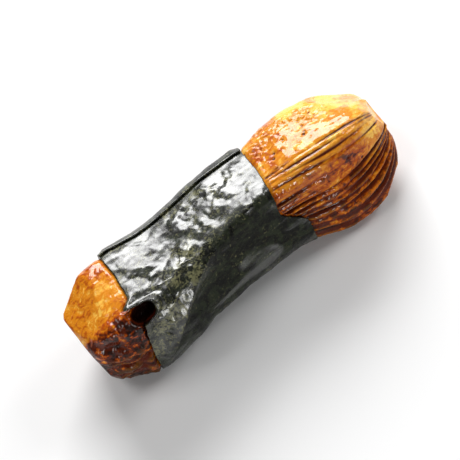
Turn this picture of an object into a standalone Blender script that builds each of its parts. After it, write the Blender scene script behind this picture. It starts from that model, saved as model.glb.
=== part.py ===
"""A glazed Japanese rice cracker: a puffed, ridged stick of rice dough with a band of nori round its waist.

Metres, +Z up. The stick runs along X, with its longer bare end at +X. It lies at Z = 0 on two flat spots, one under
the bulge of that end and one under the nori near the other end. Angles round the stick are in degrees, from +Z
towards -Y.
"""
import math
import random

import bmesh
import bpy
from mathutils import Matrix, Vector

# The stick of dough.
LENGTH = 0.0400           # tip to tip
LEFT_RADIUS = 0.00526     # from the axis to a facet, at the bulge of the -X end
RIGHT_RADIUS = 0.00536    # the same at the +X end
WAIST_RADIUS = 0.00430    # the same under the nori
LEFT_CAP_START = -0.0130  # where the -X end starts to round off
RIGHT_CAP_START = 0.0112  # where the +X end starts to round off
CAP_POWER = 2.3           # 2 rounds an end as an ellipse, more makes it squarer
LEFT_SHOULDER = (-0.0138, -0.0050)   # the bulge narrows to the waist between these
RIGHT_SHOULDER = (0.0046, 0.0112)    # the waist widens to the bulge between these
ARCH = 0.0007             # the middle of the stick stands this much higher than its bulging ends
BOW = 0.0007              # and this much further back, towards +Y
ARCH_MIDDLE = 0.0023      # where the arch is highest
ARCH_REACH = 0.0125       # the arch ends this far from there
FLAT_DEPTH = 0.00022      # how far the two spots that it lies on are pressed flat

# The facets of its soft four-sided section: the angle of the normal, the distance from the axis as a share of the
# radius, and how far the facet turns along the stick, in degrees a metre.
FACETS = ((-12.0, 0.98, -500.0), (77.0, 1.00, -500.0), (180.0, 1.00, 0.0), (259.0, 0.99, -300.0))
CORNER_POWER = 4.5        # 2 gives a round section, more a squarer one

# Its grooves, left by the dough as it puffed: angles round the stick, depths in metres, half widths in degrees.
GROOVE_SEED = 7
GROOVE_FIRST = 58.0
GROOVE_LAST = 306.0
GROOVE_PITCH = 13.5
GROOVE_JITTER = 2.2
GROOVE_DEPTH = (0.00022, 0.00040)
GROOVE_HALF_WIDTH = 3.4
EDGE_GROOVES = ((20.0, 0.00022, 3.2), (32.0, 0.00036, 3.6))   # the pair beside the top facet
GROOVE_DRIFT = -320.0     # degrees a metre along the stick
GROOVE_LEFT_SHARE = 0.55  # the -X end is smoother

# The nori, one sheet wrapped once round with its ends overlapping.
NORI_LEFT = -0.0133
NORI_RIGHT = 0.0050
NORI_SKEW = 0.0010        # the sheet is wrapped a little askew
NORI_GAP = 0.00030
NORI_THICKNESS = 0.00030
OVERLAP_FROM = -118.0
OVERLAP_TO = -52.0
CRINKLE = 0.00016
PUCKER_ANGLE = 40.0       # the arch where the -X edge stands off the dough
PUCKER_HALF_WIDTH = 11.0
PUCKER_HEIGHT = 0.00105
PUCKER_LENGTH = 0.0026
PUCKER_NOTCH = 0.0014     # the edge draws back this far at the arch
TAIL_ANGLE = 98.0         # the tongue of nori that runs on past the +X edge
TAIL_HALF_WIDTH = 24.0
TAIL_LENGTH = 0.0028

# How finely the solids are faceted.
DOUGH_SEGMENTS = 104
DOUGH_RINGS = 34
NORI_SEGMENTS = 64
NORI_RINGS = 10

DOUGH_COLOR = (0.55, 0.20, 0.03, 1.0)
NORI_COLOR = (0.040, 0.044, 0.030, 1.0)


def smooth_step(low, high, value):
    """0 below low, 1 above high, and a smooth rise between them."""
    share = min(max((value - low) / (high - low), 0.0), 1.0)
    return share * share * (3.0 - 2.0 * share)


def angle_between(first, second):
    """The angle from second to first in degrees, between -180 and 180."""
    return (first - second + 180.0) % 360.0 - 180.0


def bell(offset, half_width):
    """1 at no offset, falling smoothly to nothing a few half widths away."""
    return math.exp(-(offset / half_width) ** 2)


def facet_radius(x):
    """Distance from the axis to the facets at x, without the rounding of the ends."""
    narrowing = smooth_step(*LEFT_SHOULDER, x)
    widening = smooth_step(*RIGHT_SHOULDER, x)
    radius = LEFT_RADIUS + (WAIST_RADIUS - LEFT_RADIUS) * narrowing
    return radius + (RIGHT_RADIUS - WAIST_RADIUS) * widening


def end_rounding(x):
    """Share of the section's size that is left at x, down to 0 at the two tips."""
    if x < LEFT_CAP_START:
        share = (LEFT_CAP_START - x) / (LEFT_CAP_START + LENGTH / 2)
    elif x > RIGHT_CAP_START:
        share = (x - RIGHT_CAP_START) / (LENGTH / 2 - RIGHT_CAP_START)
    else:
        return 1.0
    return max(1.0 - min(share, 1.0) ** CAP_POWER, 0.0) ** (1.0 / CAP_POWER)


def section_shape(x, angle):
    """Share of the facet radius at this angle round the section: 1 on a facet, more towards a corner."""
    total = 0.0
    for normal, distance, turn in FACETS:
        facing = math.cos(math.radians(angle_between(angle, normal + turn * x))) / distance
        total += max(facing, 0.0) ** CORNER_POWER
    return total ** (-1.0 / CORNER_POWER)


def make_grooves():
    """The grooves as (angle, depth, half width), unevenly spaced round all but the smooth top facet."""
    rng = random.Random(GROOVE_SEED)
    grooves = list(EDGE_GROOVES)
    angle = GROOVE_FIRST
    while angle < GROOVE_LAST:
        grooves.append((angle, rng.uniform(*GROOVE_DEPTH), GROOVE_HALF_WIDTH))
        angle += GROOVE_PITCH + rng.uniform(-GROOVE_JITTER, GROOVE_JITTER)
    return grooves


def groove_depth(x, angle, grooves):
    """How deep the skin lies below its full radius here."""
    depth = 0.0
    for groove_angle, groove_deep, half_width in grooves:
        depth += groove_deep * bell(angle_between(angle, groove_angle + GROOVE_DRIFT * x), half_width)
    left_share = 1.0 + (GROOVE_LEFT_SHARE - 1.0) * smooth_step(0.0, LEFT_CAP_START, x)
    return depth * left_share * end_rounding(x)


def axis_height(x):
    """Height of the stick's axis at x: each end lies as high as what is under it, and the middle is arched."""
    left = LEFT_RADIUS + NORI_GAP + NORI_THICKNESS
    toward_right = (x - NORI_LEFT) / (RIGHT_CAP_START - NORI_LEFT)
    return left + (RIGHT_RADIUS - left) * toward_right - FLAT_DEPTH + ARCH * arch_share(x)


def arch_share(x):
    """How much of the arch and the bow is reached at x."""
    return 1.0 - smooth_step(0.0, ARCH_REACH, abs(x - ARCH_MIDDLE))


def place(x, angle, radius, floor):
    """The point at this radius and angle from the stick's axis, kept above the floor height given."""
    turn = math.radians(angle)
    height = axis_height(x) + radius * math.cos(turn)
    return Vector((x, BOW * arch_share(x) - radius * math.sin(turn), max(height, floor)))


def full_radius(x, angle):
    """Radius of the dough's skin with its grooves filled."""
    return facet_radius(x) * end_rounding(x) * section_shape(x, angle)


def build_dough(grooves):
    """The stick of dough: a ball with its poles at the two tips, each point moved out onto the skin."""
    bm = bmesh.new()
    bmesh.ops.create_uvsphere(bm, u_segments=DOUGH_SEGMENTS, v_segments=DOUGH_RINGS, radius=1.0)
    bmesh.ops.rotate(bm, verts=bm.verts, matrix=Matrix.Rotation(math.radians(90.0), 3, "Y"))
    for vert in bm.verts:
        x = vert.co.x * LENGTH / 2
        angle = math.degrees(math.atan2(-vert.co.y, vert.co.z))
        floor = NORI_GAP + NORI_THICKNESS if x < 0.0 else 0.0
        vert.co = place(x, angle, full_radius(x, angle) - groove_depth(x, angle, grooves), floor)
    return bm


def nori_edges(angle):
    """The two X positions of the sheet's edges at this angle: askew, a little uneven, with the notch and the tail."""
    turn = math.radians(angle)
    skew = NORI_SKEW * math.cos(turn + math.radians(60.0))
    uneven = 0.00014 * math.sin(5.0 * turn + 1.0) + 0.00009 * math.sin(11.0 * turn)
    notch = PUCKER_NOTCH * bell(angle_between(angle, PUCKER_ANGLE), PUCKER_HALF_WIDTH)
    tail = TAIL_LENGTH * bell(angle_between(angle, TAIL_ANGLE), TAIL_HALF_WIDTH)
    return NORI_LEFT + skew + uneven + notch, NORI_RIGHT + skew - uneven + tail


def nori_lift(x, angle, left_edge):
    """How far the sheet stands off the dough: its crinkles and the arch at its -X edge."""
    turn = math.radians(angle)
    wave = math.sin(9.0 * turn + 900.0 * x) * math.sin(4.0 * turn - 1300.0 * x + 1.0)
    pucker = PUCKER_HEIGHT * bell(angle_between(angle, PUCKER_ANGLE), PUCKER_HALF_WIDTH)
    return CRINKLE * (0.5 + 0.5 * wave) + pucker * bell(x - left_edge, PUCKER_LENGTH)


def overlap_share(angle):
    """1 where the sheet's two ends lie on each other, else 0."""
    return 1.0 if OVERLAP_FROM <= angle_between(angle, 0.0) <= OVERLAP_TO else 0.0


def nori_shell(bm, outside):
    """One side of the sleeve: a grid bent round the dough and closed on itself."""
    made = bmesh.ops.create_grid(bm, x_segments=NORI_RINGS, y_segments=NORI_SEGMENTS, size=1.0)
    for vert in made["verts"]:
        angle = 180.0 * vert.co.y
        left_edge, right_edge = nori_edges(angle)
        x = left_edge + (right_edge - left_edge) * (vert.co.x + 1.0) / 2
        radius = full_radius(x, angle) + NORI_GAP + nori_lift(x, angle, left_edge)
        if outside:
            radius += NORI_THICKNESS * (1.0 + overlap_share(angle))
        vert.co = place(x, angle, radius, 0.0 if outside else NORI_THICKNESS)
    if not outside:
        bmesh.ops.reverse_faces(bm, faces=list({face for vert in made["verts"] for face in vert.link_faces}))
    bmesh.ops.remove_doubles(bm, verts=made["verts"], dist=1e-6)


def build_nori():
    """The nori: an outer and an inner shell, joined along the sheet's two cut edges."""
    bm = bmesh.new()
    nori_shell(bm, outside=True)
    nori_shell(bm, outside=False)
    middle = (NORI_LEFT + NORI_RIGHT) / 2
    open_edges = [edge for edge in bm.edges if edge.is_boundary]
    for side in (-1, 1):
        rims = [edge for edge in open_edges if (edge.verts[0].co.x - middle) * side > 0.0]
        bmesh.ops.bridge_loops(bm, edges=rims)
    return bm


def make_material(name, color, roughness):
    """A plain Principled material."""
    material = bpy.data.materials.new(name)
    material.use_nodes = True
    shader = material.node_tree.nodes["Principled BSDF"]
    shader.inputs["Base Color"].default_value = color
    shader.inputs["Roughness"].default_value = roughness
    shader.inputs["Metallic"].default_value = 0.0
    return material


def add_object(name, bm, shift, material):
    """The named object for a finished piece, moved by shift."""
    bmesh.ops.translate(bm, verts=bm.verts, vec=shift)
    bmesh.ops.recalc_face_normals(bm, faces=bm.faces)
    mesh = bpy.data.meshes.new(name)
    bm.to_mesh(mesh)
    bm.free()
    mesh.shade_smooth()
    mesh.materials.append(material)
    bpy.context.scene.collection.objects.link(bpy.data.objects.new(name, mesh))


def centering_shift(pieces):
    """The move that puts the middle of all the pieces' box over the origin."""
    points = [vert.co for bm in pieces for vert in bm.verts]
    middle = [(min(p[axis] for p in points) + max(p[axis] for p in points)) / 2 for axis in (0, 1)]
    return Vector((-middle[0], -middle[1], 0.0))


def main():
    for old in list(bpy.data.objects):
        bpy.data.objects.remove(old, do_unlink=True)
    dough = build_dough(make_grooves())
    nori = build_nori()
    shift = centering_shift((dough, nori))
    add_object("rice_cracker", dough, shift, make_material("glazed_rice", DOUGH_COLOR, 0.35))
    add_object("nori_band", nori, shift, make_material("nori", NORI_COLOR, 0.45))


main()
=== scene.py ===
"""Studio scene of a soy-glazed Japanese rice cracker, a puffed stick of dough in a band of nori.

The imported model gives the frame: two solids, the dough and the nori. Both are replaced here by fine meshes
with the real thing's grooves, blisters, creases and cut edges. Metres, +Z up. The stick runs along X, and
angles round it are in degrees from +Z towards -Y.
"""
import logging
import math
from dataclasses import dataclass
from enum import Enum
from typing import Any

import bmesh
import bpy
import numpy as np
from mathutils import Matrix, Vector, noise


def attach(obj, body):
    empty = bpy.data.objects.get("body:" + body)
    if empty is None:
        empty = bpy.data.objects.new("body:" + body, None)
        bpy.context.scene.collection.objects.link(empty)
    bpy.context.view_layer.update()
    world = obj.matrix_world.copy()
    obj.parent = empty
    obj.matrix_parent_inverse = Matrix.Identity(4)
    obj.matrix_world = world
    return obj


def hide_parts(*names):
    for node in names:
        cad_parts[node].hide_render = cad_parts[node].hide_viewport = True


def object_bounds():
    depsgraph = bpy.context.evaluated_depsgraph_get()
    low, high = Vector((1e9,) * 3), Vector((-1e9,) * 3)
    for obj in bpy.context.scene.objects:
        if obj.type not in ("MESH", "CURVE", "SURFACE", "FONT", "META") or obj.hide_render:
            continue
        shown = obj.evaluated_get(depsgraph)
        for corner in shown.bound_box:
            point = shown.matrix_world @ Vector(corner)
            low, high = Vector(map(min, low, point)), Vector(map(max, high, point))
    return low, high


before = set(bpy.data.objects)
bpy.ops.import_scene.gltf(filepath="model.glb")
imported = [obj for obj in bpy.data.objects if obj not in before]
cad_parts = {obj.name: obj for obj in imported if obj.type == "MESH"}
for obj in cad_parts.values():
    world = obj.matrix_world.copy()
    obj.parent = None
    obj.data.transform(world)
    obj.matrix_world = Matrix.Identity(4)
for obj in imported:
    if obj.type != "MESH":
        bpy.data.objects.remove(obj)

CAD_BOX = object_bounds()
ROOT = "root"
MM = 0.001

NO_FLOOR = -1.0             # a height that nothing reaches
PAST_TIP = 20.5 * MM        # where a groove that runs off the end of the stick stops
GROOVE_FADE = 1.0 * MM      # over which a groove's ends fade
GROOVE_WAVE = 2.6 * MM      # length of its wander, over 2 pi
GROOVE_BEAT = 1.7 * MM      # length of its deeper and shallower stretches, over 2 pi
FULL_CREVICE = 0.30 * MM    # depth from which a groove's painted shade is as dark as it gets

log = logging.getLogger("rice_cracker")


# ---------------------------------------------------------------- curves and noise over a surface


def smooth_step(low: float, high: float, value: np.ndarray) -> np.ndarray:
    """Rise smoothly from 0 at low to 1 at high.

    Args:
        low: Where the rise starts.
        high: Where it ends; it may be below low for a fall.
        value: The values to look up.

    Returns:
        The share of the rise at each value.
    """
    share = np.clip((value - low) / (high - low), 0.0, 1.0)
    return share * share * (3.0 - 2.0 * share)


def angle_between(first: np.ndarray, second: Any) -> np.ndarray:
    """Return the angle from second to first in degrees, between -180 and 180."""
    return (first - second + 180.0) % 360.0 - 180.0


def bell(offset: np.ndarray, half_width: float) -> np.ndarray:
    """Return 1 at no offset, falling smoothly to nothing a few half widths away."""
    return np.exp(-((offset / half_width) ** 2))


def window(low: float, high: float, soft: float, value: np.ndarray) -> np.ndarray:
    """Return 1 between low and high, with edges that fade over soft on either side."""
    return smooth_step(low - soft, low + soft, value) * smooth_step(high + soft, high - soft, value)


def soft_noise(points: np.ndarray, size: float, seed: float, octaves: int = 1) -> np.ndarray:
    """Look up smooth noise at points in space.

    Args:
        points: One row of x, y, z for each point, in metres.
        size: Width of the noise's largest lumps, in metres.
        seed: Shift that picks another stretch of the noise.
        octaves: How many finer layers it has.

    Returns:
        A value of about -1 to 1 for each point.
    """
    rows = (points / size + seed).tolist()
    return np.array([noise.fractal(row, 1.0, 2.0, octaves) for row in rows])


def cell_distances(points: np.ndarray, size: float, seed: float) -> tuple[np.ndarray, np.ndarray]:
    """Measure the distance to the nearest two of a set of scattered centres.

    Args:
        points: One row of x, y, z for each point, in metres.
        size: Usual distance between centres, in metres.
        seed: Shift that picks another set of centres.

    Returns:
        The distances to the nearest and the second centre, as shares of size.
    """
    rows = (points / size + seed).tolist()
    found = np.array([noise.voronoi(row)[0][:2] for row in rows])
    return found[:, 0], found[:, 1]


# ---------------------------------------------------------------- the shape of the stick


@dataclass(frozen=True)
class StickShape:
    """The stick's outer form, which the dough fills and the nori is wrapped round.

    Each facet is the angle of its normal, its distance from the axis as a share of the radius, and how far
    it turns along the stick, in degrees a metre.
    """

    length: float = 40.0 * MM
    left_radius: float = 5.26 * MM
    right_radius: float = 5.36 * MM
    waist_radius: float = 4.50 * MM
    left_cap_start: float = -13.0 * MM
    right_cap_start: float = 11.2 * MM
    cap_power: float = 2.3
    left_shoulder: tuple[float, float] = (-13.8 * MM, -5.0 * MM)
    right_shoulder: tuple[float, float] = (4.6 * MM, 11.2 * MM)
    arch: float = 0.5 * MM
    bow: float = 0.5 * MM
    arch_middle: float = 2.3 * MM
    arch_reach: float = 12.5 * MM
    pressed_flat: float = 0.22 * MM
    nori_room: float = 0.60 * MM
    sideways: float = 0.22 * MM
    facets: tuple[tuple[float, float, float], ...] = (
        (-12.0, 0.98, -500.0),
        (77.0, 1.00, -500.0),
        (180.0, 1.00, 0.0),
        (259.0, 0.99, -300.0),
    )
    corner_power: float = 5.0
    lump: float = 0.11 * MM
    lump_size: float = 4.2 * MM
    lump_smoothing: float = 0.6
    smoothing_fade: float = 1.5 * MM

    def facet_radius(self, x: np.ndarray) -> np.ndarray:
        """Return the distance from the axis to the facets, without the rounding of the ends."""
        narrowing = smooth_step(*self.left_shoulder, x)
        widening = smooth_step(*self.right_shoulder, x)
        radius = self.left_radius + (self.waist_radius - self.left_radius) * narrowing
        return radius + (self.right_radius - self.waist_radius) * widening

    def end_rounding(self, x: np.ndarray) -> np.ndarray:
        """Return the share of the section's size that is left, down to 0 at the tips."""
        half = self.length / 2
        left = np.clip((self.left_cap_start - x) / (self.left_cap_start + half), 0.0, 1.0)
        right = np.clip((x - self.right_cap_start) / (half - self.right_cap_start), 0.0, 1.0)
        share = np.maximum(left, right)
        return (1.0 - share**self.cap_power) ** (1.0 / self.cap_power)

    def section(self, x: np.ndarray, angle: np.ndarray) -> np.ndarray:
        """Return the share of the facet radius at this angle: 1 on a facet, more towards a corner."""
        total = np.zeros_like(angle)
        for normal, distance, turn in self.facets:
            facing = np.cos(np.radians(angle_between(angle, normal + turn * x))) / distance
            total += np.maximum(facing, 0.0) ** self.corner_power
        return total ** (-1.0 / self.corner_power)

    def body(self, x: np.ndarray, angle: np.ndarray) -> tuple[np.ndarray, np.ndarray]:
        """Work out the plain form with its large, soft lumps.

        Args:
            x: Position along the stick.
            angle: Angle round the stick, in degrees.

        Returns:
            The radius at each point, and the points in space on the form without lumps.
        """
        rounding = self.end_rounding(x)
        radius = self.facet_radius(x) * rounding * self.section(x, angle)
        points = self.place(x, angle, radius, NO_FLOOR)
        wrapped = window(self.left_shoulder[0], self.right_shoulder[0], self.smoothing_fade, x)
        lump = self.lump * rounding * (1.0 - self.lump_smoothing * wrapped)
        return radius + soft_noise(points, self.lump_size, 3.1, 2) * lump, points

    def place(self, x: np.ndarray, angle: np.ndarray, radius: np.ndarray, floor: float) -> np.ndarray:
        """Work out points in space, with what would reach below the floor pressed flat on it.

        Args:
            x: Position along the stick.
            angle: Angle round the stick, in degrees.
            radius: Distance from the stick's axis.
            floor: Height that no point goes below.

        Returns:
            One row of x, y, z for each point.
        """
        arched = 1.0 - smooth_step(0.0, self.arch_reach, np.abs(x - self.arch_middle))
        left = self.left_radius + self.nori_room
        toward_right = (x - self.left_cap_start) / (self.right_cap_start - self.left_cap_start)
        axis_height = left + (self.right_radius - left) * toward_right
        axis_height = axis_height - self.pressed_flat + self.arch * arched
        turn = np.radians(angle)
        height = axis_height + radius * np.cos(turn)
        y = self.bow * arched - radius * np.sin(turn) + self.sideways
        return np.stack([x, y, np.maximum(height, floor)], axis=1)


class Edge(Enum):
    """The two cut edges of the nori."""

    LEFT = -1
    RIGHT = 1


@dataclass(frozen=True)
class NoriOutline:
    """Where the sheet of nori covers the dough.

    The pucker is a place where the sheet's -X edge is drawn back and lifted over a hollow in the dough. The
    tail is a tongue of the sheet that runs on past the +X edge. Angles are in degrees.
    """

    left: float = -13.3 * MM
    right: float = 5.0 * MM
    skew: float = 1.0 * MM
    skew_angle: float = 60.0
    pucker_angle: float = 37.0
    pucker_half_width: float = 10.0
    notch: float = 1.9 * MM
    loop: float = 1.1 * MM
    loop_half_width: float = 4.5
    tail_from: float = 60.0
    tail_rise: float = 38.0
    tail_to: float = 128.0
    tail_length: float = 2.7 * MM
    ring_radius: float = 6.0 * MM
    ragged: float = 0.13 * MM
    ragged_size: float = 2.5 * MM
    frayed: float = 0.05 * MM
    frayed_size: float = 0.45 * MM

    def edge(self, side: Edge, angle: np.ndarray) -> np.ndarray:
        """Return where one cut edge of the sheet lies along the stick at each angle."""
        table = np.linspace(-180.0, 180.0, 1441)
        turn = np.radians(table)
        along = np.full_like(turn, float(side.value))
        ring = np.stack([along, np.cos(turn), np.sin(turn)], axis=1) * self.ring_radius
        place = self.skew * np.cos(turn + math.radians(self.skew_angle))
        place = place + soft_noise(ring, self.ragged_size, 1.7, 2) * self.ragged
        place = place + soft_noise(ring, self.frayed_size, 4.9, 2) * self.frayed
        if side is Edge.LEFT:
            offset = np.minimum(np.abs(table - self.pucker_angle) / self.pucker_half_width, 1.0)
            place = place + self.left + self.notch * np.sqrt(1.0 - offset**2.5)
            beside = table - self.pucker_angle + 1.25 * self.pucker_half_width
            place = place - self.loop * bell(beside, self.loop_half_width)
        else:
            tail = smooth_step(self.tail_from, self.tail_from + self.tail_rise, table)
            tail = tail * smooth_step(self.tail_to + 10.0, self.tail_to - 6.0, table)
            place = place + self.right + self.tail_length * tail
        return np.interp(angle_between(angle, 0.0), table, place)

    def front_corner(self, x: np.ndarray) -> np.ndarray:
        """Return the angle of the sheet's bent corner between its crumpled top and its taut front."""
        return 30.0 + 47.0 * np.clip((self.right - x) / (15.5 * MM), 0.0, 1.15) ** 3

    def depth_under(self, x: np.ndarray, angle: np.ndarray) -> np.ndarray:
        """Return how far inside the sheet's two edges each point lies; it is below 0 outside them."""
        return np.minimum(x - self.edge(Edge.LEFT, angle), self.edge(Edge.RIGHT, angle) - x)


@dataclass(frozen=True)
class Groove:
    """One long groove in the dough.

    Args:
        angle: Where it runs, in degrees, at the middle of the stick.
        depth: How deep it is.
        half_width: Its half width, in degrees.
        start: Where it begins, along the stick.
        end: Where it ends.
        drift: How far it turns along the stick, in degrees a metre.
        waver: How far it wanders either way, in degrees.
        phase: Where along its wander it starts, in radians.
    """

    angle: float
    depth: float
    half_width: float
    start: float = -PAST_TIP
    end: float = PAST_TIP
    drift: float = -320.0
    waver: float = 0.8
    phase: float = 0.0

    def share(self, x: np.ndarray, angle: np.ndarray) -> np.ndarray:
        """Return how much of its depth is reached at each point."""
        path = self.angle + self.drift * x + self.waver * np.sin(x / GROOVE_WAVE + self.phase)
        across = np.abs(angle_between(angle, path)) / self.half_width
        along = window(self.start, self.end, GROOVE_FADE, x)
        strength = 0.68 + 0.32 * np.sin(x / GROOVE_BEAT + 2.0 * self.phase)
        return np.exp(-(across**1.4)) * along * strength


@dataclass(frozen=True)
class GrooveGroup:
    """A run of grooves side by side.

    Args:
        first: Angle of the first groove, in degrees.
        last: Angle that the last one stays below.
        pitch: Usual angle between two grooves.
        depth: The least and the most depth.
        half_width: Half width of each, in degrees.
        start: Where they begin along the stick.
        end: Where they end.
        ragged: How far a groove may end short of that.
        drift: How far they turn along the stick, in degrees a metre.
    """

    first: float
    last: float
    pitch: float
    depth: tuple[float, float]
    half_width: float
    start: float = -PAST_TIP
    end: float = PAST_TIP
    ragged: float = 0.0
    drift: float = -320.0

    def grooves(self, rng: np.random.Generator) -> list[Groove]:
        """Lay the group's grooves out, unevenly spaced.

        Args:
            rng: Source of the unevenness.

        Returns:
            The grooves.
        """
        made = []
        angle = self.first
        while angle < self.last:
            made.append(
                Groove(
                    angle,
                    rng.uniform(*self.depth),
                    self.half_width * rng.uniform(0.8, 1.25),
                    self.start + self.ragged * rng.uniform(0.0, 1.0),
                    self.end - self.ragged * rng.uniform(0.0, 1.0),
                    self.drift,
                    rng.uniform(0.5, 1.3),
                    rng.uniform(0.0, 2.0 * math.pi),
                )
            )
            angle += self.pitch * rng.uniform(0.78, 1.22)
        return made


# ---------------------------------------------------------------- shader maths


class Value:
    """A shader value on which Python's operators add Math nodes."""

    def __init__(self, nodes: "NodeMaker", socket: bpy.types.NodeSocket) -> None:
        """Wrap a socket of the given node maker's tree."""
        self.nodes = nodes
        self.socket = socket

    def _math(self, operation: str, first: Any, second: Any) -> "Value":
        """Add one Math node and return its result."""
        return self.nodes.value("ShaderNodeMath", {"operation": operation}, {0: first, 1: second})

    def __add__(self, other: Any) -> "Value":
        """Return self + other."""
        return self._math("ADD", self, other)

    def __radd__(self, other: Any) -> "Value":
        """Return other + self."""
        return self._math("ADD", other, self)

    def __sub__(self, other: Any) -> "Value":
        """Return self - other."""
        return self._math("SUBTRACT", self, other)

    def __rsub__(self, other: Any) -> "Value":
        """Return other - self."""
        return self._math("SUBTRACT", other, self)

    def __mul__(self, other: Any) -> "Value":
        """Return self * other."""
        return self._math("MULTIPLY", self, other)

    def __rmul__(self, other: Any) -> "Value":
        """Return other * self."""
        return self._math("MULTIPLY", other, self)

    def between(self, low: float, high: float) -> "Value":
        """Return a smooth rise from 0 at low to 1 at high."""
        settings = {"interpolation_type": "SMOOTHSTEP"}
        inputs = {"Value": self, "From Min": low, "From Max": high, "To Min": 0.0, "To Max": 1.0}
        return self.nodes.value("ShaderNodeMapRange", settings, inputs)

    def clamp(self) -> "Value":
        """Return the value kept between 0 and 1."""
        return self.nodes.value("ShaderNodeClamp", {}, {"Value": self, "Min": 0.0, "Max": 1.0})


class NodeMaker:
    """Adds nodes to one material."""

    def __init__(self, material: bpy.types.Material) -> None:
        """Take the material's tree, with only its Principled shader and output."""
        material.use_nodes = True
        self.tree = material.node_tree
        self.shader = self.tree.nodes["Principled BSDF"]

    def add(self, kind: str, settings: dict[str, Any], inputs: dict[Any, Any]) -> bpy.types.Node:
        """Add a node.

        Args:
            kind: The node's type.
            settings: Its properties, set before its inputs.
            inputs: Value, link or Value object for each input, by name or number.

        Returns:
            The node.
        """
        node = self.tree.nodes.new(kind)
        for name, setting in settings.items():
            setattr(node, name, setting)
        for key, given in inputs.items():
            self.feed(node.inputs[key], given)
        return node

    def feed(self, socket: bpy.types.NodeSocket, given: Any) -> None:
        """Link or set one input socket."""
        if isinstance(given, Value):
            self.tree.links.new(given.socket, socket)
        elif isinstance(given, bpy.types.NodeSocket):
            self.tree.links.new(given, socket)
        elif isinstance(given, tuple) and len(given) == 3 and socket.type == "RGBA":
            socket.default_value = (*given, 1.0)
        else:
            socket.default_value = given

    def value(
        self, kind: str, settings: dict[str, Any], inputs: dict[Any, Any], output: Any = 0
    ) -> Value:
        """Add a node and wrap one of its outputs."""
        return Value(self, self.add(kind, settings, inputs).outputs[output])

    def attribute(self, name: str) -> Value:
        """Return a float that is stored on the mesh's points."""
        return self.value("ShaderNodeAttribute", {"attribute_name": name}, {}, "Fac")

    def coordinates(self) -> bpy.types.NodeSocket:
        """Return the object's own coordinates."""
        return self.add("ShaderNodeTexCoord", {}, {}).outputs["Object"]

    def noise(self, vector: Any, size: float, detail: float, rough: float, warp: float = 0.0) -> Value:
        """Add noise whose largest lumps are about size across."""
        inputs = {"Vector": vector, "Scale": 1.0 / size, "Detail": detail}
        inputs.update({"Roughness": rough, "Distortion": warp})
        return self.value("ShaderNodeTexNoise", {}, inputs, "Fac")

    def cells(self, vector: Any, size: float) -> Value:
        """Add the distance to scattered centres about size apart."""
        inputs = {"Vector": vector, "Scale": 1.0 / size}
        return self.value("ShaderNodeTexVoronoi", {"feature": "F1"}, inputs, "Distance")

    def mix(self, factor: Any, first: Any, second: Any) -> Value:
        """Mix two colours."""
        settings = {"data_type": "RGBA", "blend_type": "MIX", "clamp_factor": True}
        return self.value("ShaderNodeMix", settings, {0: factor, 6: first, 7: second}, 2)

    def stretched(
        self,
        vector: Any,
        scale: tuple[float, float, float],
        turn: tuple[float, float, float] = (0.0, 0.0, 0.0),
    ) -> bpy.types.NodeSocket:
        """Turn and scale a coordinate."""
        inputs = {"Vector": vector, "Rotation": turn, "Scale": scale}
        return self.add("ShaderNodeMapping", {}, inputs).outputs[0]

    def constants(self, values: dict[str, float]) -> None:
        """Set some of the shader's own values."""
        for name, number in values.items():
            self.shader.inputs[name].default_value = number

    def bump(self, height: Value, depth: float, under: Any = None) -> bpy.types.NodeSocket:
        """Add a bump of the given depth in metres, on top of another normal."""
        inputs = {"Height": height, "Strength": 1.0, "Distance": depth}
        if under is not None:
            inputs["Normal"] = under
        return self.add("ShaderNodeBump", {}, inputs).outputs["Normal"]


# ---------------------------------------------------------------- finishes


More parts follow.
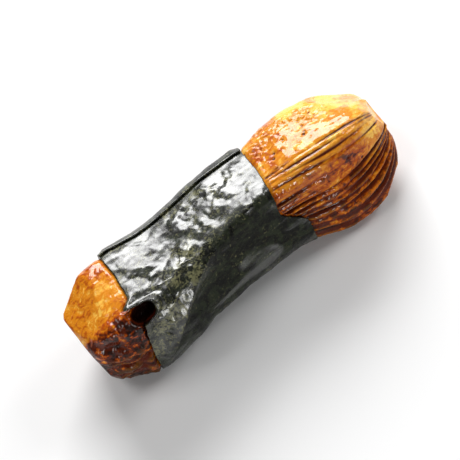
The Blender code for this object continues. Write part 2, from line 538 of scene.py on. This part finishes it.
@dataclass(frozen=True)
class GlazeFinish:
    """Toasted rice dough under a dark, sticky soy glaze."""

    pale: tuple[float, float, float] = (0.95, 0.55, 0.090)
    golden: tuple[float, float, float] = (0.71, 0.238, 0.010)
    amber: tuple[float, float, float] = (0.44, 0.076, 0.002)
    brown: tuple[float, float, float] = (0.092, 0.0115, 0.002)
    # The darkest colour: char, and the painted shade in the grooves, pits and the hollow.
    burnt_and_shade: tuple[float, float, float] = (0.016, 0.004, 0.002)
    blotch_size: float = 2.8 * MM
    mottle_size: float = 0.85 * MM
    streak_size: float = 0.36 * MM
    grain_size: float = 0.20 * MM
    speck_size: float = 0.55 * MM
    bubble_size: float = 0.42 * MM
    mottle_depth: float = 0.10 * MM
    streak_depth: float = 0.05 * MM
    grain_depth: float = 0.02 * MM
    bubble_depth: float = 0.014 * MM

    def make(self, name: str) -> bpy.types.Material:
        """Build the material."""
        material = bpy.data.materials.new(name)
        nodes = NodeMaker(material)
        where = nodes.coordinates()
        crevice_shade = nodes.attribute("crevice_shade")
        crest_highlight = nodes.attribute("crest_highlight")
        toast_and_shade = nodes.attribute("toast_and_shade")
        blotch = nodes.noise(where, self.blotch_size, 3.0, 0.55)
        mottle = nodes.noise(where, self.mottle_size, 3.0, 0.6, 0.8)
        lengthwise = nodes.stretched(where, (0.12, 1.0, 1.0))
        streak = nodes.noise(lengthwise, self.streak_size, 3.0, 0.6, 0.3)
        grain = nodes.noise(where, self.grain_size, 3.0, 0.6)
        # The tone holds baked colour, with painted shade down the sides, below and round the hollow, and
        # painted light at the +X tip.
        tone = toast_and_shade + (blotch - 0.5) * 1.25 + (mottle - 0.5) * (toast_and_shade * 2.2 + 0.6)
        tone = tone + (streak - 0.5) * (toast_and_shade * 1.1 + 0.35)
        color = nodes.mix(tone.between(-0.06, 0.22), self.pale, self.golden)
        color = nodes.mix(tone.between(0.26, 0.60), color, self.amber)
        color = nodes.mix(tone.between(0.60, 0.94), color, self.brown)
        color = nodes.mix(tone.between(0.90, 1.45), color, self.burnt_and_shade)
        specks = nodes.cells(where, self.speck_size).between(0.20, 0.06) * mottle.between(0.5, 0.62)
        color = nodes.mix(specks * 0.65, color, self.brown)
        # Painted highlight: ridge tops and the rim of the +X tip are lightened towards pale.
        light = nodes.mix(toast_and_shade.between(0.25, 0.60), self.pale, self.golden)
        color = nodes.mix((crest_highlight * (grain.between(0.35, 0.65) * 0.5 + 0.5)) * 0.70, color, light)
        # Painted shade: the grooves, pits, valleys between knobs and the hollow under the pucker turn brown,
        # then near black.
        color = nodes.mix((crevice_shade + (streak - 0.5) * 0.40).between(0.12, 0.55), color, self.brown)
        color = nodes.mix((crevice_shade + (grain - 0.5) * 0.2).between(0.58, 1.0), color, self.burnt_and_shade)
        nodes.feed(nodes.shader.inputs["Base Color"], color)
        nodes.feed(nodes.shader.inputs["Roughness"], mottle.between(0.35, 0.65) * 0.25 + 0.16)
        coat = nodes.attribute("glaze") * (blotch.between(0.35, 0.60) * 0.5 + 0.5)
        nodes.feed(nodes.shader.inputs["Coat Weight"], coat)
        nodes.constants({"IOR": 1.45, "Specular IOR Level": 0.08, "Coat Roughness": 0.07, "Coat IOR": 1.40})
        bubbles = nodes.cells(where, self.bubble_size).between(0.45, 0.05)
        normal = nodes.bump(bubbles, self.bubble_depth)
        normal = nodes.bump(mottle, self.mottle_depth, normal)
        normal = nodes.bump(streak, self.streak_depth, normal)
        nodes.feed(nodes.shader.inputs["Normal"], nodes.bump(grain, self.grain_depth, normal))
        return material


@dataclass(frozen=True)
class NoriFinish:
    """A thin, nearly black-green sheet of pressed seaweed, glossy with glaze."""

    black: tuple[float, float, float] = (0.0020, 0.0024, 0.0012)
    green: tuple[float, float, float] = (0.015, 0.020, 0.009)
    olive: tuple[float, float, float] = (0.17, 0.165, 0.078)
    cloud_size: float = 3.2 * MM
    broad_size: float = 2.6 * MM
    mottle_size: float = 1.5 * MM
    sheen_size: float = 1.1 * MM
    dimple_size: float = 0.80 * MM
    flake_size: float = 0.70 * MM
    speck_size: float = 0.34 * MM
    fibre_sizes: tuple[float, float] = (0.24 * MM, 0.20 * MM)
    dimple_depth: float = 0.03 * MM
    flake_depth: float = 0.06 * MM
    fibre_depth: float = 0.014 * MM

    def make(self, name: str) -> bpy.types.Material:
        """Build the material."""
        material = bpy.data.materials.new(name)
        nodes = NodeMaker(material)
        where = nodes.coordinates()
        thin = nodes.attribute("thin")
        clouds = nodes.noise(where, self.cloud_size, 4.0, 0.6, 0.4)
        mottle = nodes.noise(where, self.mottle_size, 4.0, 0.62, 1.0)
        flakes = nodes.noise(where, self.flake_size, 4.0, 0.65, 1.0)
        one_way = nodes.stretched(where, (0.25, 1.0, 1.0), (0.2, 0.5, 0.3))
        along = nodes.noise(one_way, self.fibre_sizes[0], 3.0, 0.6, 1.4)
        other_way = nodes.stretched(where, (1.0, 0.3, 0.3), (0.6, 0.1, 0.9))
        across = nodes.noise(other_way, self.fibre_sizes[1], 3.0, 0.6, 1.2)
        fibres = along.between(0.56, 0.70) + across.between(0.58, 0.72)
        specks = nodes.noise(where, self.speck_size, 3.0, 0.65, 0.8)
        lengthwise = nodes.stretched(where, (0.22, 1.0, 1.0))
        sheen = nodes.noise(lengthwise, self.sheen_size, 3.0, 0.55, 0.6)
        color = nodes.mix(mottle.between(0.42, 0.60), self.black, self.green)
        # Olive follows thin spots in the sheet; in the crumpled corner below the pucker it is also a painted
        # highlight.
        patch = (clouds - 0.5) * 0.8 + (flakes - 0.5) * 1.0 + (specks - 0.5) * 2.6 + thin * 0.95 - 0.18
        color = nodes.mix(patch.between(0.15, 0.65) * 0.9, color, self.olive)
        color = nodes.mix(fibres.clamp() * 0.10, color, self.olive)
        nodes.feed(nodes.shader.inputs["Base Color"], color)
        nodes.feed(nodes.shader.inputs["Roughness"], flakes.between(0.35, 0.65) * 0.14 + 0.24)
        crumpled = nodes.attribute("shine")
        on_folds = mottle.between(0.32, 0.60) * 0.18 + sheen.between(0.38, 0.62) * 0.2 + 0.32
        slanting = nodes.stretched(where, (0.4, 1.0, 1.0), (0.1, 0.2, 0.0))
        broad = nodes.noise(slanting, self.broad_size, 3.0, 0.55, 0.8)
        on_front = broad.between(0.46, 0.64) * (sheen.between(0.35, 0.60) * 0.6 + 0.3) + 0.03
        coat = crumpled * on_folds + (1.0 - crumpled) * on_front
        nodes.feed(nodes.shader.inputs["Coat Weight"], coat)
        nodes.constants({"IOR": 1.50, "Specular IOR Level": 0.10, "Coat Roughness": 0.25, "Coat IOR": 2.05})
        normal = nodes.bump(nodes.cells(where, self.dimple_size), self.dimple_depth)
        normal = nodes.bump(flakes, self.flake_depth, normal)
        nodes.feed(nodes.shader.inputs["Normal"], nodes.bump(fibres.clamp(), self.fibre_depth, normal))
        return material


# ---------------------------------------------------------------- the two pieces


def mesh_points(bm: bmesh.types.BMesh) -> np.ndarray:
    """Return a mesh's points, one row each."""
    return np.array([vert.co[:] for vert in bm.verts])


def move_points(bm: bmesh.types.BMesh, points: np.ndarray) -> None:
    """Put a mesh's points where the rows say."""
    for vert, point in zip(bm.verts, points.tolist()):
        vert.co = point


def store_floats(bm: bmesh.types.BMesh, name: str, values: np.ndarray) -> None:
    """Store a number on every point of a mesh, for its material to read."""
    layer = bm.verts.layers.float.new(name)
    for vert, number in zip(bm.verts, values.tolist()):
        vert[layer] = number


def finish_piece(
    bm: bmesh.types.BMesh, name: str, material: bpy.types.Material, node: str
) -> bpy.types.Object:
    """Turn a finished mesh into a piece of the model.

    Args:
        bm: The mesh, which is freed.
        name: The piece's name.
        material: Its finish.
        node: The solid that it replaces.

    Returns:
        The piece.
    """
    mesh = bpy.data.meshes.new(name)
    bm.to_mesh(mesh)
    bm.free()
    mesh.shade_smooth()
    mesh.materials.append(material)
    piece = bpy.data.objects.new(name, mesh)
    bpy.context.scene.collection.objects.link(piece)
    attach(piece, ROOT)
    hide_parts(node)
    return piece


@dataclass
class Dough:
    """The puffed stick of rice dough with its grooves, blisters, pits and puckered tips.

    The hidden stretch under the nori has fewer rings of points. Each chamfer is a flat face on the shoulder
    of an end: how far its normal leans towards +X, the angle it faces round the stick, and how deep it cuts.
    """

    shape: StickShape
    outline: NoriOutline
    segments: int = 400
    rings: int = 236
    hidden_from: float = -11.0 * MM
    hidden_to: float = 3.2 * MM
    hidden_share: float = 0.16
    press_under_nori: float = 0.26 * MM
    knob: float = 0.48 * MM
    blister: float = 0.15 * MM
    pit: float = 0.20 * MM
    film: float = 0.050 * MM
    film_size: float = 1.0 * MM
    knob_spacing: float = 3.0 * MM
    blister_spacing: float = 0.80 * MM
    pit_spacing: float = 1.05 * MM
    hollow: float = 1.5 * MM
    hollow_middle: float = -12.65 * MM
    hollow_half_length: float = 1.95 * MM
    hollow_half_width: float = 12.5
    edge_fade: tuple[float, float] = (0.10 * MM, -0.45 * MM)
    groove_seed: int = 11
    chamfers: tuple[tuple[float, float, float], ...] = (
        (-27.0, -10.0, 0.55 * MM),
        (-32.0, 68.0, 0.40 * MM),
        (-28.0, 118.0, 0.40 * MM),
        (-34.0, 200.0, 0.35 * MM),
        (-28.0, 285.0, 0.45 * MM),
        (31.0, -30.0, 0.45 * MM),
        (36.0, 45.0, 0.25 * MM),
        (32.0, 120.0, 0.30 * MM),
        (30.0, 210.0, 0.35 * MM),
        (35.0, 275.0, 0.40 * MM),
    )
    groups: tuple[GrooveGroup, ...] = (
        GrooveGroup(9.0, 29.0, 6.2, (0.20 * MM, 0.30 * MM), 1.6, 4.0 * MM, 19.4 * MM, 0.8 * MM, 700.0),
        GrooveGroup(50.0, 67.0, 7.2, (0.26 * MM, 0.40 * MM), 2.3, 2.0 * MM, 11.5 * MM, 3.0 * MM, -200.0),
        GrooveGroup(70.0, 132.0, 8.6, (0.36 * MM, 0.54 * MM), 2.8, 2.0 * MM, PAST_TIP, 1.5 * MM, -150.0),
        GrooveGroup(138.0, 205.0, 13.0, (0.16 * MM, 0.26 * MM), 3.2, 2.0 * MM, PAST_TIP, 3.0 * MM, -250.0),
        GrooveGroup(210.0, 300.0, 8.4, (0.28 * MM, 0.46 * MM), 2.6, 2.0 * MM, PAST_TIP, 2.0 * MM, -250.0),
        GrooveGroup(308.0, 326.0, 5.5, (0.05 * MM, 0.09 * MM), 1.6, 2.0 * MM, 15.0 * MM, 3.0 * MM, 200.0),
        GrooveGroup(66.0, 140.0, 15.0, (0.16 * MM, 0.30 * MM), 3.4, -PAST_TIP, -10.0 * MM, 3.0 * MM, -900.0),
        GrooveGroup(200.0, 300.0, 9.0, (0.24 * MM, 0.40 * MM), 2.8, -PAST_TIP, -10.0 * MM, 1.0 * MM, -250.0),
    )

    def station(self, share: np.ndarray) -> np.ndarray:
        """Turn a share of the way from tip to tip into a place on the stick; few lie under the nori."""
        half = self.shape.length / 2
        x = half * np.sin(np.linspace(-math.pi / 2, math.pi / 2, 4001))
        width = self.shape.facet_radius(x) * self.shape.end_rounding(x)
        step = np.hypot(np.diff(x), np.diff(width))
        middle = (x[1:] + x[:-1]) / 2
        hidden = window(self.hidden_from, self.hidden_to, 0.8 * MM, middle)
        run = np.concatenate([[0.0], np.cumsum(step * (1.0 + (self.hidden_share - 1.0) * hidden))])
        return np.interp(share, run / run[-1], x)

    def build(self, material: bpy.types.Material) -> bpy.types.Object:
        """Model the dough.

        Args:
            material: The glaze.

        Returns:
            The piece.
        """
        bm = bmesh.new()
        bmesh.ops.create_uvsphere(bm, u_segments=self.segments, v_segments=self.rings, radius=1.0)
        bmesh.ops.rotate(bm, verts=bm.verts, matrix=Matrix.Rotation(math.radians(90.0), 3, "Y"))
        ball = mesh_points(bm)
        x = self.station(np.arccos(np.clip(-ball[:, 0], -1.0, 1.0)) / math.pi)
        angle = np.degrees(np.arctan2(-ball[:, 1], ball[:, 2]))
        rounding = self.shape.end_rounding(x)
        radius, smooth = self.shape.body(x, angle)
        bare = smooth_step(*self.edge_fade, self.outline.depth_under(x, angle))

        crevice_shade, depth = self.carve(x, angle)
        radius = radius - depth * np.minimum(rounding * 1.6, 1.0) * bare
        pits = self.pits(x, angle, smooth)
        knobs = self.knobs(x, angle, smooth)
        film = soft_noise(smooth, self.film_size, 71.0, 3) * self.film
        relief = self.knob * knobs + self.blisters(x, angle, smooth) - pits + film
        radius = radius + relief * rounding * bare - self.press_under_nori * (1.0 - bare)
        hollow = self.hollow_share(x, angle)
        radius = radius - self.hollow * hollow
        points = self.shape.place(x, angle, radius, 0.0) + self.chamfer(smooth) * bare[:, None]
        points = self.blunt_tips(points)
        move_points(bm, points)

        # Painted shade: the grooves, pits, the valleys between knobs and the hollow under the pucker are
        # stored to be darkened.
        grooves = crevice_shade * np.maximum(bare, 0.3)
        in_hollow = smooth_step(0.10, 0.5, hollow)
        dark = np.maximum.reduce([grooves, 0.75 * pits / self.pit, -0.9 * knobs, in_hollow])
        store_floats(bm, "crevice_shade", np.clip(dark, 0.0, 1.0))
        # Painted highlight on ridge tops and the rim of the +X tip.
        store_floats(bm, "crest_highlight", self.crests(x, angle, crevice_shade))
        # Baked tone, with painted shade and painted light in it.
        store_floats(bm, "toast_and_shade", self.toast_and_shade(x, angle, smooth))
        store_floats(bm, "glaze", self.glaze(angle) * (1.0 - smooth_step(0.0, 0.4, hollow)))
        bmesh.ops.recalc_face_normals(bm, faces=bm.faces)
        return finish_piece(bm, "glazed_dough", material, "rice_cracker")

    def carve(self, x: np.ndarray, angle: np.ndarray) -> tuple[np.ndarray, np.ndarray]:
        """Work out the grooves.

        Args:
            x: Position along the stick.
            angle: Angle round it, in degrees.

        Returns:
            How dark each point is painted in the grooves' shade, from 0 to 1, and how deep it lies.
        """
        rng = np.random.default_rng(self.groove_seed)
        crevice_shade = np.zeros_like(x)
        depth = np.zeros_like(x)
        for group in self.groups:
            for groove in group.grooves(rng):
                share = groove.share(x, angle)
                crevice_shade = np.maximum(crevice_shade, share * min(groove.depth / FULL_CREVICE, 1.0))
                depth = np.maximum(depth, share * groove.depth)
        return crevice_shade, depth

    def crests(self, x: np.ndarray, angle: np.ndarray, crevice_shade: np.ndarray) -> np.ndarray:
        """Return the painted highlight on each ridge top between two grooves and on the rim of the +X tip.
        """
        sides = 0.9 * bell(x - 19.2 * MM, 0.5 * MM) * bell(angle_between(angle, 10.0), 60.0)
        for side in (-4.0, 4.0):
            beside, _ = self.carve(x, angle + side)
            sides = np.maximum(sides, beside)
        return np.clip(sides - 1.6 * crevice_shade, 0.0, 1.0)

    def knobs(self, x: np.ndarray, angle: np.ndarray, points: np.ndarray) -> np.ndarray:
        """Return the coarse knobs low on the -X end, as shares of their full height."""
        where = window(24.0, 165.0, 8.0, angle_between(angle, 0.0))
        where = where * smooth_step(-11.5 * MM, -14.0 * MM, x)
        first, second = cell_distances(points, self.knob_spacing, 33.0)
        lumps = 1.3 * np.minimum(second - first, 0.4)
        return (lumps + soft_noise(points, 1.9 * MM, 35.0, 3) - 0.2) * where

    def blisters(self, x: np.ndarray, angle: np.ndarray, points: np.ndarray) -> np.ndarray:
        """Return the height of the small blisters, which crowd on top of the +X end beside the nori."""
        first, second = cell_distances(points, self.blister_spacing, 8.4)
        dome = smooth_step(0.0, 0.55, second - first)
        on_top = bell(angle_between(angle, -18.0), 38.0) * window(3.0 * MM, 14.5 * MM, 2.5 * MM, x)
        patches = smooth_step(-0.10, 0.35, soft_noise(points, 2.4 * MM, 12.3))
        return self.blister * dome * (0.12 + 1.1 * on_top * patches)

    def pits(self, x: np.ndarray, angle: np.ndarray, points: np.ndarray) -> np.ndarray:
        """Return the depth of the small pits, most of them on top of the +X end beside the nori."""
        first, _ = cell_distances(points, self.pit_spacing, 5.7)
        on_top = bell(angle_between(angle, -10.0), 45.0) * window(3.0 * MM, 13.0 * MM, 2.5 * MM, x)
        scatter = smooth_step(0.28, 0.55, soft_noise(points, 2.0 * MM, 12.3) + 0.45 * on_top)
        return self.pit * bell(first, 0.20) * scatter

    def hollow_share(self, x: np.ndarray, angle: np.ndarray) -> np.ndarray:
        """Return how much of its depth the hollow under the nori's pucker reaches at each point."""
        along = (x - self.hollow_middle) / self.hollow_half_length
        across = angle_between(angle, self.outline.pucker_angle + 1.0) / self.hollow_half_width
        return smooth_step(1.0, 0.40, np.hypot(along, across))

    def toast_and_shade(self, x: np.ndarray, angle: np.ndarray, points: np.ndarray) -> np.ndarray:
        """Return how dark the dough is: golden on top, browner below and at the -X tip, paler at the +X tip.
        Patches and bands are its baked colour; the darkening down the sides, low on the -X end and round the
        pucker's hollow is painted shade, and the paler +X tip is painted light.
        """
        turned = angle_between(angle, 0.0)
        away = np.abs(angle_between(angle, -20.0))
        # Painted shade: darker down the sides and below, away from the top.
        side = 0.45 * smooth_step(42.0, 72.0, away) + 0.30 * smooth_step(78.0, 120.0, away)
        left = smooth_step(-11.0 * MM, -14.0 * MM, x)
        # Painted shade: darker low on the -X end.
        left_low = left * (window(24.0, 170.0, 10.0, turned) + 0.8 * window(75.0, 170.0, 25.0, turned))
        # Painted light: paler at the +X tip.
        right_tip = smooth_step(14.0 * MM, 18.5 * MM, x)
        left_tip = smooth_step(-16.5 * MM, -19.5 * MM, x)
        # Painted shade round the hollow under the nori's pucker.
        hollow_shade = bell(angle_between(angle, self.outline.pucker_angle + 6.0), 22.0)
        hollow_shade = hollow_shade * bell(x + 13.4 * MM, 2.2 * MM)
        beside_nori = bell(x - 6.0 * MM, 3.5 * MM)
        patches = soft_noise(points, 3.2 * MM, 21.0, 2)
        tone = 0.12 + 1.08 * side - 0.26 * right_tip + 0.12 * left + 0.20 * left_low + 0.12 * left_tip
        band = left * bell(x + 16.6 * MM, 1.4 * MM)
        tone = tone + 0.5 * hollow_shade + 0.14 * beside_nori + 0.08 * band + 0.16 * patches
        return np.clip(tone, 0.0, 1.5)

    def glaze(self, angle: np.ndarray) -> np.ndarray:
        """Return how thick the glaze lies: it is brushed over the top and thin below."""
        return 0.30 + 0.70 * smooth_step(92.0, 30.0, np.abs(angle_between(angle, -15.0)))

    def chamfer(self, smooth: np.ndarray) -> np.ndarray:
        """Work out how far each point is pressed in where the ends have flat faces on their shoulders.

        Args:
            smooth: The points of the plain form.

        Returns:
            The move of each point.
        """
        centre = np.array([0.0, 0.0, self.shape.right_radius])
        moved = np.array(smooth)
        for lean, around, depth in self.chamfers:
            turn, rise = math.radians(around), math.radians(lean)
            across = math.cos(rise)
            facing = np.array([math.sin(rise), -across * math.sin(turn), across * math.cos(turn)])
            height = (smooth - centre) @ facing
            past = (moved - centre) @ facing - height.max() + depth
            moved = moved - np.outer(np.maximum(past, 0.0), facing)
        return moved - smooth

    def blunt_tips(self, points: np.ndarray) -> np.ndarray:
        """Flatten the two tips, as where the dough was cut, leaving a rim round a drawn-in pucker."""
        cuts = (
            (Vector((1.0, -0.06, 0.12)).normalized(), 19.35 * MM, 2.1 * MM),
            (Vector((-1.0, 0.05, -0.10)).normalized(), 18.9 * MM, 1.6 * MM),
        )
        centre = np.array([0.0, 0.0, self.shape.right_radius])
        for normal, reach, rim_radius in cuts:
            facing = np.array(normal)
            past = (points - centre) @ facing - reach
            points = points - np.outer(np.maximum(past, 0.0) * 0.96, facing)
            off_axis = np.linalg.norm(np.cross(points - centre, facing), axis=1)
            at_end = smooth_step(reach - 2.0 * MM, reach - 0.5 * MM, (points - centre) @ facing)
            rim = 0.20 * MM * bell(off_axis - rim_radius, 0.30 * MM)
            pucker = 0.40 * MM * bell(off_axis, 0.55 * rim_radius)
            points = points + np.outer((rim - pucker) * at_end, facing)
        return points


@dataclass(frozen=True)
class Fold:
    """One run of parallel, zigzag folds in the nori.

    Args:
        direction: The way across the folds.
        spacing: Distance from one fold's crest to the next.
        phase: Where the first one lies, as a share of the spacing.
        height: Height of the crests above the valleys.
    """

    direction: tuple[float, float, float]
    spacing: float
    phase: float
    height: float

    def lift(self, points: np.ndarray) -> np.ndarray:
        """Return the folds' height at each point, from -1/2 to 1/2 of their full height."""
        across = np.array(Vector(self.direction).normalized())
        turn = points @ across / self.spacing + self.phase
        return self.height * (2.0 * np.abs(turn - np.floor(turn) - 0.5) - 0.5)


@dataclass
class Nori:
    """The sheet of nori: wrapped once round the dough, its end laid over its beginning.

    It starts at the angle start and runs on past a full turn by the overlap, both in degrees.
    """

    shape: StickShape
    outline: NoriOutline
    columns: int = 146
    rows: int = 310
    start: float = -118.0
    overlap: float = 71.0
    thickness: float = 0.16 * MM
    clearance: float = 0.05 * MM
    lap_gap: float = 0.08 * MM
    free_edge_lift: float = 0.06 * MM
    crease_height: float = 0.30 * MM
    swell_height: float = 1.0 * MM
    lip_height: float = 0.62 * MM
    curl: float = 0.42 * MM
    grain: float = 0.055 * MM
    grain_size: float = 0.9 * MM
    fold_waver: float = 0.55 * MM
    least_loose: float = 0.22
    folds: tuple[Fold, ...] = (
        Fold((1.0, 0.5, 0.3), 4.6 * MM, 0.10, 0.13 * MM),
        Fold((0.4, -1.0, 0.7), 3.4 * MM, 0.55, 0.11 * MM),
        Fold((1.0, -0.9, -0.6), 2.4 * MM, 0.30, 0.085 * MM),
        Fold((0.8, 0.9, 1.0), 1.6 * MM, 0.80, 0.070 * MM),
        Fold((-0.3, 1.0, -0.9), 1.1 * MM, 0.20, 0.030 * MM),
    )

    def creases(self, x: np.ndarray, angle: np.ndarray) -> np.ndarray:
        """Return the height of the long creases that tension pulled across the sheet."""
        lines = (
            (self.outline.front_corner(x), 17.0, 1.0),
            (102.0 - 500.0 * (self.outline.right - x), 20.0, 0.8),
            (-58.0, 13.0, 0.8),
            (196.0 + 800.0 * (self.outline.right - x), 22.0, 0.6),
            (246.0 - 300.0 * (self.outline.right - x), 18.0, 0.6),
        )
        height = np.zeros_like(x)
        for middle, half_width, share in lines:
            away = np.abs(angle_between(angle, middle))
            height = np.maximum(height, share * np.maximum(1.0 - away / half_width, 0.0))
        return self.crease_height * height

    def swelling(self, x: np.ndarray, angle: np.ndarray, left: np.ndarray) -> np.ndarray:
        """Return how far the sheet stands out along its bent corner, beside the pucker."""
        away = angle_between(angle, self.outline.front_corner(x))
        slope = np.where(away < 0.0, 44.0, 17.0)
        along = smooth_step(-2.0 * MM, -8.5 * MM, x) * smooth_step(0.0, 2.6 * MM, x - left)
        return self.swell_height * np.maximum(1.0 - np.abs(away) / slope, 0.0) * along

    def looseness(self, x: np.ndarray, angle: np.ndarray) -> np.ndarray:
        """Return how crumpled the sheet is: most on top and below, least on the taut front."""
        top = smooth_step(5.0, -5.0, angle_between(angle, self.outline.front_corner(x)))
        behind = smooth_step(-165.0, -125.0, angle_between(angle, 0.0))
        below = smooth_step(108.0, 135.0, angle_between(angle, 0.0))
        beside_pucker = 0.9 * self.pucker_side(x, angle)
        loose = np.maximum.reduce([top * behind, 0.7 * below, beside_pucker])
        return np.clip(self.least_loose + (1.0 - self.least_loose) * loose, 0.0, 1.0)

    def pucker_side(self, x: np.ndarray, angle: np.ndarray) -> np.ndarray:
        """Return how far each point belongs to the crumpled corner of the sheet below the pucker."""
        corner_away = angle_between(angle, self.outline.front_corner(x))
        return bell(corner_away + 16.0, 26.0) * smooth_step(-1.0 * MM, -8.0 * MM, x)

    def crumple(self, x: np.ndarray, angle: np.ndarray, points: np.ndarray) -> np.ndarray:
        """Return the height of the sheet's sharp little folds."""
        seeds = (41.0, 52.0, 63.0)
        shift = np.stack([soft_noise(points, 2.0 * MM, seed, 2) for seed in seeds], axis=1)
        moved = points + shift * self.fold_waver
        height = sum(fold.lift(moved) for fold in self.folds)
        height = height + self.grain * soft_noise(points, self.grain_size, 81.0, 3)
        uneven = 0.55 + 0.9 * smooth_step(-0.3, 0.4, soft_noise(points, 2.8 * MM, 6.2))
        return height * self.looseness(x, angle) * uneven * (1.0 + 1.1 * self.pucker_side(x, angle))

    def build(self, material: bpy.types.Material) -> bpy.types.Object:
        """Model the sheet.

        Args:
            material: Its finish.

        Returns:
            The piece.
        """
        bm = bmesh.new()
        bmesh.ops.create_grid(bm, x_segments=self.columns, y_segments=self.rows, size=1.0)
        flat = mesh_points(bm)
        turned = (flat[:, 1] + 1.0) / 2 * (360.0 + self.overlap)
        angle = self.start + turned
        left = self.outline.edge(Edge.LEFT, angle)
        right = self.outline.edge(Edge.RIGHT, angle)
        x = left + (right - left) * (flat[:, 0] + 1.0) / 2
        body, smooth = self.shape.body(x, angle)
        lap = smooth_step(360.0 - 14.0, 360.0 + 2.0, turned)
        near_edge = smooth_step(0.0, 0.9 * MM, np.minimum(x - left, right - x))

        away = angle_between(angle, self.outline.pucker_angle)
        lip = self.lip_height * bell(away, 15.0) * bell(x - left, 1.3 * MM)
        free_edge = smooth_step(360.0 + self.overlap - 7.0, 360.0 + self.overlap, turned)
        lapped = np.mod(turned, 360.0)
        seam = smooth_step(self.overlap - 22.0, self.overlap - 8.0, lapped)
        seam = seam * smooth_step(self.overlap + 16.0, self.overlap + 2.0, lapped)
        calm = near_edge * (1.0 - 0.85 * seam)
        relief = (self.crumple(x, angle, smooth) + 0.06 * MM) * (0.25 + 0.75 * calm)
        radius = body + self.clearance + self.creases(x, angle) * near_edge
        radius = radius + lip + self.swelling(x, angle, left)
        radius = radius + np.maximum(relief, -self.clearance)
        radius = radius + lap * (self.thickness + self.lap_gap) + free_edge * self.free_edge_lift
        rolled = bell(x - left - 0.40 * MM, 0.38 * MM) - 0.35 * bell(x - left, 0.16 * MM)
        radius = radius + self.curl * bell(away, 15.0) * rolled
        move_points(bm, self.shape.place(x, angle, radius, self.thickness))
        loose = self.looseness(x, angle)
        worn = (0.25 + 0.45 * soft_noise(smooth, 1.6 * MM, 15.5, 3)) * loose
        worn = worn * (0.3 + 0.7 * window(-55.0, 100.0, 12.0, angle_between(angle, 0.0)))
        # Thin olive patches, plus a painted highlight: the crumpled corner below the pucker is lightened
        # towards olive.
        store_floats(bm, "thin", np.clip(worn + 0.33 * self.pucker_side(x, angle), 0.0, 1.0))
        shine = (loose - self.least_loose) / (1.0 - self.least_loose)
        store_floats(bm, "shine", np.clip(shine, 0.0, 1.0))
        bmesh.ops.recalc_face_normals(bm, faces=bm.faces)
        piece = finish_piece(bm, "nori_sheet", material, "nori_band")
        wall = piece.modifiers.new("sheet_thickness", "SOLIDIFY")
        wall.thickness = self.thickness
        wall.offset = 1.0
        return piece


# ---------------------------------------------------------------- the studio


@dataclass
class Studio:
    """A white table under soft lights, and the camera."""

    floor_size: float = 3.0
    azimuth: float = -15.0
    elevation: float = 60.0
    roll: float = 26.4
    distance: float = 0.27
    lens: float = 205.0

    def build(self, focus: Vector) -> None:
        """Set up the table, lights, world and camera.

        Args:
            focus: The middle of the cracker.
        """
        self.table()
        self.softbox("back_softbox", Vector((0.22, 0.42, 0.30)), focus, 0.38, 0.26, 4.2)
        self.softbox("top_softbox", Vector((-0.20, 0.16, 0.54)), focus, 0.24, 0.24, 0.8)
        self.softbox("front_softbox", Vector((-0.06, -0.49, 0.18)), focus, 0.05, 0.22, 0.75)
        self.softbox("right_softbox", Vector((0.42, 0.00, 0.30)), focus, 0.18, 0.18, 0.75)
        self.softbox("left_softbox", Vector((-0.46, -0.16, 0.10)), focus, 0.06, 0.06, 0.32)
        self.world(0.09)
        self.camera(focus)

    def table(self) -> None:
        """Add the white table top."""
        bm = bmesh.new()
        bmesh.ops.create_grid(bm, x_segments=1, y_segments=1, size=self.floor_size / 2)
        mesh = bpy.data.meshes.new("table")
        bm.to_mesh(mesh)
        bm.free()
        material = bpy.data.materials.new("white_table")
        nodes = NodeMaker(material)
        nodes.shader.inputs["Base Color"].default_value = (0.88, 0.88, 0.88, 1.0)
        nodes.shader.inputs["Roughness"].default_value = 0.6
        mesh.materials.append(material)
        table = bpy.data.objects.new("table", mesh)
        bpy.context.scene.collection.objects.link(table)

    def softbox(
        self, name: str, place: Vector, focus: Vector, width: float, height: float, power: float
    ) -> None:
        """Add one rectangular light aimed at the cracker."""
        light = bpy.data.lights.new(name, "AREA")
        light.shape = "RECTANGLE"
        light.size = width
        light.size_y = height
        light.energy = power
        holder = bpy.data.objects.new(name, light)
        holder.location = place
        holder.rotation_euler = (focus - place).to_track_quat("-Z", "Y").to_euler()
        bpy.context.scene.collection.objects.link(holder)

    def world(self, strength: float) -> None:
        """Add a plain, dim surround."""
        world = bpy.data.worlds.new("studio_air")
        world.use_nodes = True
        background = world.node_tree.nodes["Background"]
        background.inputs["Color"].default_value = (1.0, 1.0, 1.0, 1.0)
        background.inputs["Strength"].default_value = strength
        bpy.context.scene.world = world

    def camera(self, focus: Vector) -> None:
        """Add the camera, looking down on the cracker from its shorter end."""
        turn, rise = math.radians(self.azimuth), math.radians(self.elevation)
        away = math.cos(rise)
        back = Vector((math.sin(turn) * away, -math.cos(turn) * away, math.sin(rise)))
        lens = bpy.data.cameras.new("camera")
        lens.lens = self.lens
        camera = bpy.data.objects.new("camera", lens)
        camera.location = focus + back * self.distance
        aim = (-back).to_track_quat("-Z", "Y").to_matrix()
        camera.rotation_euler = (aim @ Matrix.Rotation(math.radians(-self.roll), 3, "Z")).to_euler()
        bpy.context.scene.collection.objects.link(camera)
        bpy.context.scene.camera = camera
        bpy.context.scene.view_settings.view_transform = "Standard"


def main() -> None:
    """Build the dough, the nori and the studio."""
    logging.basicConfig(level=logging.INFO, format="%(name)s: %(message)s")
    shape = StickShape()
    outline = NoriOutline()
    low, high = CAD_BOX
    for piece in (
        Dough(shape, outline).build(GlazeFinish().make("soy_glaze")),
        Nori(shape, outline).build(NoriFinish().make("pressed_nori")),
    ):
        log.info("%s: %d faces", piece.name, len(piece.data.polygons))
    Studio().build((low + high) / 2)


if __name__ == "__main__":
    main()
